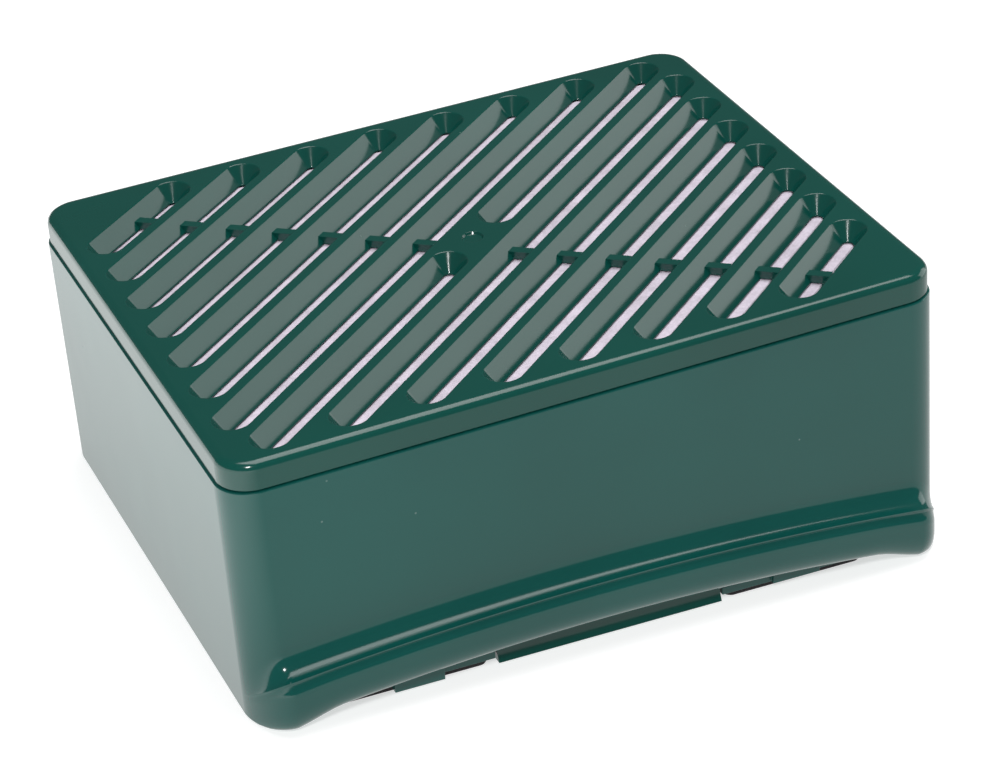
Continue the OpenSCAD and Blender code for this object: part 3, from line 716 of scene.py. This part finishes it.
def rounded_slab(name, length, width, radius, height, edge, place, steps=10, rings=5):
    """A slab with rounded corners and rounded edges, its sides built in rings and its top and bottom each one
    face.
    """
    outline = []
    for qx, qy, a0 in ((1, 1, 0), (-1, 1, 90), (-1, -1, 180), (1, -1, 270)):
        for i in range(steps + 1):
            a = math.radians(a0 + 90 * i / steps)
            outline.append((qx * (length / 2 - radius), qy * (width / 2 - radius), math.cos(a), math.sin(a)))
    turns = [math.pi / 2 * i / rings for i in range(rings + 1)]
    section = [(edge * (1 - math.sin(t)), edge * (1 - math.cos(t))) for t in turns]
    section += [(edge * (1 - math.cos(t)), height - edge * (1 - math.sin(t))) for t in turns]
    verts = [(cx + (radius - inset) * ax, cy + (radius - inset) * ay, z) for inset, z in section for cx, cy,
        ax, ay in outline]
    n = len(outline)
    faces = [(i * n + j, i * n + (j + 1) % n, (i + 1) * n + (j + 1) % n, (i + 1) * n + j)
             for i in range(len(section) - 1) for j in range(n)]
    faces.append(tuple(range(n - 1, -1, -1)))
    faces.append(tuple(range((len(section) - 1) * n, len(section) * n)))
    piece = mesh_object(name, verts, faces, place)
    tidy_mesh(piece, crease=40)
    return piece


class STATION_OT_bait_pad(bpy.types.Operator):
    """Builds the white pulp pad that shows through the slits"""
    bl_idname = "station.bait_pad"
    bl_label = "Bait Pad"

    def execute(self, context):
        h, lid, colours = settings()
        length, width = (side - PAD_SETBACK for side in cassette_span(h, lid))
        low = h.roof - lid.grille - SOFT_GAP - PAD_THICKNESS
        place = to_row() @ Matrix.Translation((0, 0, low))
        pad = rounded_slab("pulp_pad", length, width, 2.5, PAD_THICKNESS, 0.4, place)
        finish_piece(pad, pressed_pulp("Cellulose pulp pressed white", colours.pad), "cassette", ["bait_pad"])
        return {"FINISHED"}


class STATION_OT_cassette(bpy.types.Operator):
    """Builds the bait cassette and the pad frame that closes it"""
    bl_idname = "station.cassette"
    bl_label = "Cassette"

    def execute(self, context):
        colours = settings()[2]
        material = moulded_polypropylene("Polypropylene moulded cassette green", colours.housing, 0.08)
        tray = solid_copy("cassette_tray", "bait_cassette", 0.3)
        finish_piece(tray, material, "cassette", ["bait_cassette"])
        lattice = solid_copy("pad_lattice", "pad_frame", 0.3)
        finish_piece(lattice, material, "cassette", ["pad_frame"])
        return {"FINISHED"}


def block_tree(block, material):
    """Puts a pressed block in every pocket, each turned one way or the other."""
    tree, size = new_tree("Bait blocks",
        {"Pitch X": "Float", "Pitch Y": "Float", "Columns": "Int", "Rows": "Int", "Seed": "Int"})
    span_x = add(tree, "ShaderNodeMath",
        {0: size["Pitch X"],
        1: add(tree, "ShaderNodeMath", {0: size["Columns"], 1: 1.0}, operation="SUBTRACT")},
        operation="MULTIPLY")
    span_y = add(tree, "ShaderNodeMath",
        {0: size["Pitch Y"], 1: add(tree, "ShaderNodeMath", {0: size["Rows"], 1: 1.0}, operation="SUBTRACT")},
        operation="MULTIPLY")
    grid = add(tree, "GeometryNodeMeshGrid",
        {"Size X": span_x, "Size Y": span_y, "Vertices X": size["Columns"], "Vertices Y": size["Rows"]})
    turn = add(tree, "FunctionNodeRandomValue", {"Min": 0, "Max": 1, "Seed": size["Seed"]}, data_type="INT")
    angle = add(tree, "ShaderNodeCombineXYZ",
        {2: add(tree, "ShaderNodeMath", {0: turn.outputs[2], 1: math.pi}, operation="MULTIPLY")})
    unit = add(tree, "GeometryNodeObjectInfo", {"Object": block})
    put = add(tree, "GeometryNodeInstanceOnPoints",
        {"Points": grid, "Instance": unit.outputs["Geometry"], "Rotation": angle})
    close_tree(tree, [put], material)
    return tree


class STATION_OT_bait_blocks(bpy.types.Operator):
    """Builds the six pressed bait blocks in the cassette's pockets"""
    bl_idname = "station.bait_blocks"
    bl_label = "Bait Blocks"

    def execute(self, context):
        h, lid, colours = settings()
        material = pressed_bait("Cellulose bait pressed tan", colours.bait)
        length, width = cassette_span(h, lid)
        pocket_l = (length - CASSETTE_WALL * (COLUMNS + 1)) / COLUMNS
        pocket_w = (width - CASSETTE_WALL * (ROWS + 1)) / ROWS
        block = rounded_slab("block", pocket_l - 2 * SOFT_GAP, pocket_w - 2 * SOFT_GAP, 1.6, BLOCK_HEIGHT, 1.2,
                             Matrix.Identity(4), steps=4, rings=3)
        values = {"Pitch X": pocket_l + CASSETTE_WALL, "Pitch Y": pocket_w + CASSETTE_WALL,
                  "Columns": COLUMNS, "Rows": ROWS, "Seed": 4}
        place = to_row() @ Matrix.Translation((0, 0, CASSETTE_FLOOR + CASSETTE_WALL))
        blocks = grown("bait_blocks", block_tree(block, material), values, place)
        bpy.data.objects.remove(block)
        tidy_mesh(blocks, crease=40)
        finish_piece(blocks, material, "cassette", ["bait_block_%d" % i for i in range(1, 7)])
        return {"FINISHED"}


# ---------- base ----------

class STATION_OT_base_frame(bpy.types.Operator):
    """Builds the base frame with its door channel and the tongue under the arch"""
    bl_idname = "station.base_frame"
    bl_label = "Base Frame"

    def execute(self, context):
        colours = settings()[2]
        plate = solid_copy("base_plate", "base_frame", 0.2)
        finish_piece(plate, moulded_polypropylene("Polypropylene moulded base green", colours.housing, 0.1),
                     "housing_body", ["base_frame"])
        return {"FINISHED"}


class STATION_OT_slide_door(bpy.types.Operator):
    """Builds the slide door with its scooped finger tab"""
    bl_idname = "station.slide_door"
    bl_label = "Slide Door"

    def execute(self, context):
        colours = settings()[2]
        door = solid_copy("refill_door", "slide_door", 0.18)
        finish_piece(door, moulded_polypropylene("Polypropylene moulded door green", colours.lid, 0.1),
                     "door", ["slide_door"])
        return {"FINISHED"}


def screw_mesh(name, shank=1.45, head=2.75, length=9.6, pitch=1.3):
    """A countersunk screw with a cross recess below and a helical thread above, its tip pointed."""
    steps = 28
    verts, faces = [], []
    levels = 78
    for i in range(levels + 1):
        z = 1.45 + (length - 1.45) * i / levels
        tip = min(1.0, (length - z) / 1.8 + 0.04)
        for j in range(steps):
            turn = (z / pitch - j / steps) % 1.0
            ridge = 0.34 * max(0.0, 1 - abs(turn - 0.5) * 4)
            r = (shank - 0.34 + ridge) * tip
            a = 2 * math.pi * j / steps
            verts.append((r * math.cos(a), r * math.sin(a), z))
    head_rings = [(shank - 0.1, 1.45), (head - 0.15, 0.25), (head, 0.12), (head - 0.1, 0.0)]
    head_rings += [(head * (1 - t / 9), 0.0) for t in range(1, 9)]
    first = len(verts)
    for r, z in head_rings:
        for j in range(steps * 2):
            a = 2 * math.pi * j / (steps * 2)
            x, y = r * math.cos(a), r * math.sin(a)
            deep = 0.0
            if z == 0.0 and max(abs(x), abs(y)) < 1.5:
                deep = 0.9 * max(0.0,
                    min(1.0, (0.42 - min(abs(x), abs(y))) / 0.12)) * (1 - 0.5 * max(abs(x), abs(y)) / 1.5)
            verts.append((x, y, z + deep))
    for i in range(levels):
        for j in range(steps):
            k = (j + 1) % steps
            faces.append((i * steps + j, i * steps + k, (i + 1) * steps + k, (i + 1) * steps + j))
    faces.append(tuple(levels * steps + j for j in range(steps)))
    faces.append(tuple(range(steps - 1, -1, -1)))
    n = steps * 2
    for i in range(len(head_rings) - 1):
        for j in range(n):
            k = (j + 1) % n
            faces.append((first + i * n + j, first + (i + 1) * n + j, first + (i + 1) * n + k,
                first + i * n + k))
    faces.append(tuple(first + (len(head_rings) - 1) * n + j for j in range(n)))
    faces.append(tuple(first + j for j in range(n - 1, -1, -1)))
    piece = mesh_object(name, verts, faces, Matrix.Identity(4))
    tidy_mesh(piece, crease=50)
    return piece


def screw_tree(screw, material):
    """Puts a screw at each corner of a rectangle, each turned by chance."""
    tree, size = new_tree("Base screws", {"Span X": "Float", "Span Y": "Float", "Seed": "Int"})
    grid = add(tree, "GeometryNodeMeshGrid",
        {"Size X": size["Span X"], "Size Y": size["Span Y"], "Vertices X": 2, "Vertices Y": 2})
    turn = add(tree, "FunctionNodeRandomValue", {"Min": (0, 0, 0), "Max": (0, 0, 6.28), "Seed": size["Seed"]},
        data_type="FLOAT_VECTOR")
    unit = add(tree, "GeometryNodeObjectInfo", {"Object": screw})
    put = add(tree, "GeometryNodeInstanceOnPoints",
        {"Points": grid, "Instance": unit.outputs["Geometry"], "Rotation": turn})
    close_tree(tree, [put], material)
    return tree


class STATION_OT_base_screws(bpy.types.Operator):
    """Builds the four screws that hold the base frame"""
    bl_idname = "station.base_screws"
    bl_label = "Base Screws"

    def execute(self, context):
        h = settings()[0]
        material = zinc_plated_steel("Steel zinc plated")
        screw = screw_mesh("screw")
        values = {"Span X": h.length - 2 * SCREW_INSET, "Span Y": h.depth - 2 * SCREW_INSET, "Seed": 7}
        place = to_row(False) @ Matrix.Translation((0, 0, 1.1))
        screws = grown("plated_screws", screw_tree(screw, material), values, place)
        bpy.data.objects.remove(screw)
        tidy_mesh(screws, crease=50)
        finish_piece(screws, material, "housing_body", ["base_screws"])
        return {"FINISHED"}


class STATION_OT_foam(bpy.types.Operator):
    """Builds the three foam strips that the station stands on"""
    bl_idname = "station.foam"
    bl_label = "Foam Strips"

    def execute(self, context):
        colours = settings()[2]
        material = closed_cell_foam("Foam closed cell black", colours.foam)
        for node in ("foam_left", "foam_right", "foam_back"):
            low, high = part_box(node)
            size = [(b - a) * 1000 for a, b in zip(low, high)]
            middle = Matrix.Translation([(a + b) / 2 for a, b in zip(low[:2], high[:2])] + [low[2]])
            strip = rounded_slab(node + "_strip", size[0], size[1], 1.5, size[2], 0.15,
                middle @ Matrix.Scale(0.001, 4), rings=3)
            finish_piece(strip, material, "housing_body", [node])
        return {"FINISHED"}


# ---------- stage ----------

class STATION_OT_stage(bpy.types.Operator):
    """Sets the floor, the lights, the world and the camera"""
    bl_idname = "station.stage"
    bl_label = "Stage"

    def execute(self, context):
        scene = context.scene
        half = 3.0
        floor = mesh_object("floor", [(-half, -half, 0), (half, -half, 0), (half, half, 0), (-half, half, 0)],
                            [(0, 1, 2, 3)], Matrix.Identity(4))
        material, tree = new_material("Light table white")
        path = add(tree, "ShaderNodeLightPath")
        place = add(tree, "ShaderNodeSeparateXYZ", {0: add(tree, "ShaderNodeTexCoord").outputs["Object"]})
        # the table glows more on the left than in front
        lean = add(tree, "ShaderNodeMapRange",
            {"Value": place.outputs[0], "From Min": -0.05, "From Max": -0.11, "To Min": 0.85, "To Max": 1.9})
        seen = add(tree, "ShaderNodeMix", {0: path.outputs["Is Camera Ray"], 2: lean, 3: 0.62},
            data_type="FLOAT")
        glow = add(tree, "ShaderNodeEmission", {"Color": (1, 1, 1, 1), "Strength": seen})
        matte = add(tree, "ShaderNodeBsdfDiffuse",
            {"Color": add(tree, "ShaderNodeMix",
            {0: path.outputs["Is Camera Ray"], 6: (0.1, 0.1, 0.1, 1), 7: (0.62, 0.62, 0.62, 1)},
            data_type="RGBA").outputs[2]})
        both = add(tree, "ShaderNodeAddShader", {0: glow, 1: matte})
        add(tree, "ShaderNodeOutputMaterial", {"Surface": both})
        floor.data.materials.append(material)

        world = bpy.data.worlds.new("Studio")
        scene.world = world
        world.use_nodes = True
        tree = world.node_tree
        tree.nodes.clear()
        path = add(tree, "ShaderNodeLightPath")
        strength = add(tree, "ShaderNodeMix", {0: path.outputs["Is Camera Ray"], 2: 0.12, 3: 1.0},
            data_type="FLOAT")
        back = add(tree, "ShaderNodeBackground", {"Color": (1, 1, 1, 1), "Strength": strength})
        add(tree, "ShaderNodeOutputWorld", {"Surface": back})

        for name, spot, aim, power, size in (
                ("Front softbox", (-0.36, -0.67, 0.73), (0, 0, 0.03), 5.0, 0.14),
                ("Overhead softbox", (0.15, 0.1, 1.1), (0, 0, 0), 9.0, 0.8),
                ("Right panel", (0.9, 0.0, 0.26), (0, 0, 0.03), 2.4, 0.6)):
            lamp = bpy.data.lights.new(name, "AREA")
            lamp.shape = "SQUARE"
            lamp.size = size
            lamp.energy = power
            holder = bpy.data.objects.new(name, lamp)
            context.collection.objects.link(holder)
            holder.location = spot
            holder.rotation_euler = (Vector(aim) - Vector(spot)).to_track_quat("-Z", "Y").to_euler()

        camera = bpy.data.cameras.new("Camera")
        camera.sensor_width = 36.0
        camera.lens = 116.17
        camera.clip_start = 0.01
        holder = bpy.data.objects.new("Camera", camera)
        context.collection.objects.link(holder)
        right = Vector((0.917022, -0.397281, -0.035189))
        up = Vector((0.228173, 0.450215, 0.863275))
        ahead = Vector((0.327119, 0.799672, -0.503505))
        turn = Matrix((right, up, -ahead)).transposed().to_4x4()
        holder.matrix_world = Matrix.Translation((-0.17602, -0.43585, 0.29633)) @ turn
        scene.camera = holder
        scene.view_settings.view_transform = "Standard"
        return {"FINISHED"}


class STATION_PT_panel(bpy.types.Panel):
    """Lists the pieces of the bait station"""
    bl_idname = "STATION_PT_panel"
    bl_label = "Bait Station"
    bl_space_type = "VIEW_3D"
    bl_region_type = "UI"
    bl_category = "Bait Station"

    def draw(self, context):
        for operator in OPERATORS:
            self.layout.operator(operator.bl_idname)
        for group in ("station_housing", "station_lid", "station_colours"):
            owner = getattr(context.scene, group)
            for name in owner.__annotations__:
                self.layout.prop(owner, name)


OPERATORS = (STATION_OT_housing, STATION_OT_grille_lid, STATION_OT_bait_pad, STATION_OT_cassette,
             STATION_OT_bait_blocks, STATION_OT_base_frame, STATION_OT_slide_door, STATION_OT_base_screws,
             STATION_OT_foam, STATION_OT_stage)
CLASSES = (HousingSizes, LidSizes, StationColours) + OPERATORS + (STATION_PT_panel,)


def register():
    for one in CLASSES:
        bpy.utils.register_class(one)
    bpy.types.Scene.station_housing = bpy.props.PointerProperty(type=HousingSizes)
    bpy.types.Scene.station_lid = bpy.props.PointerProperty(type=LidSizes)
    bpy.types.Scene.station_colours = bpy.props.PointerProperty(type=StationColours)


def unregister():
    del bpy.types.Scene.station_housing
    del bpy.types.Scene.station_lid
    del bpy.types.Scene.station_colours
    for one in reversed(CLASSES):
        bpy.utils.unregister_class(one)


def main():
    register()
    bpy.ops.station.stage()
    bpy.ops.station.housing()
    bpy.ops.station.grille_lid()
    bpy.ops.station.bait_pad()
    bpy.ops.station.cassette()
    bpy.ops.station.bait_blocks()
    bpy.ops.station.base_frame()
    bpy.ops.station.slide_door()
    bpy.ops.station.base_screws()
    bpy.ops.station.foam()


if __name__ == "__main__":
    main()
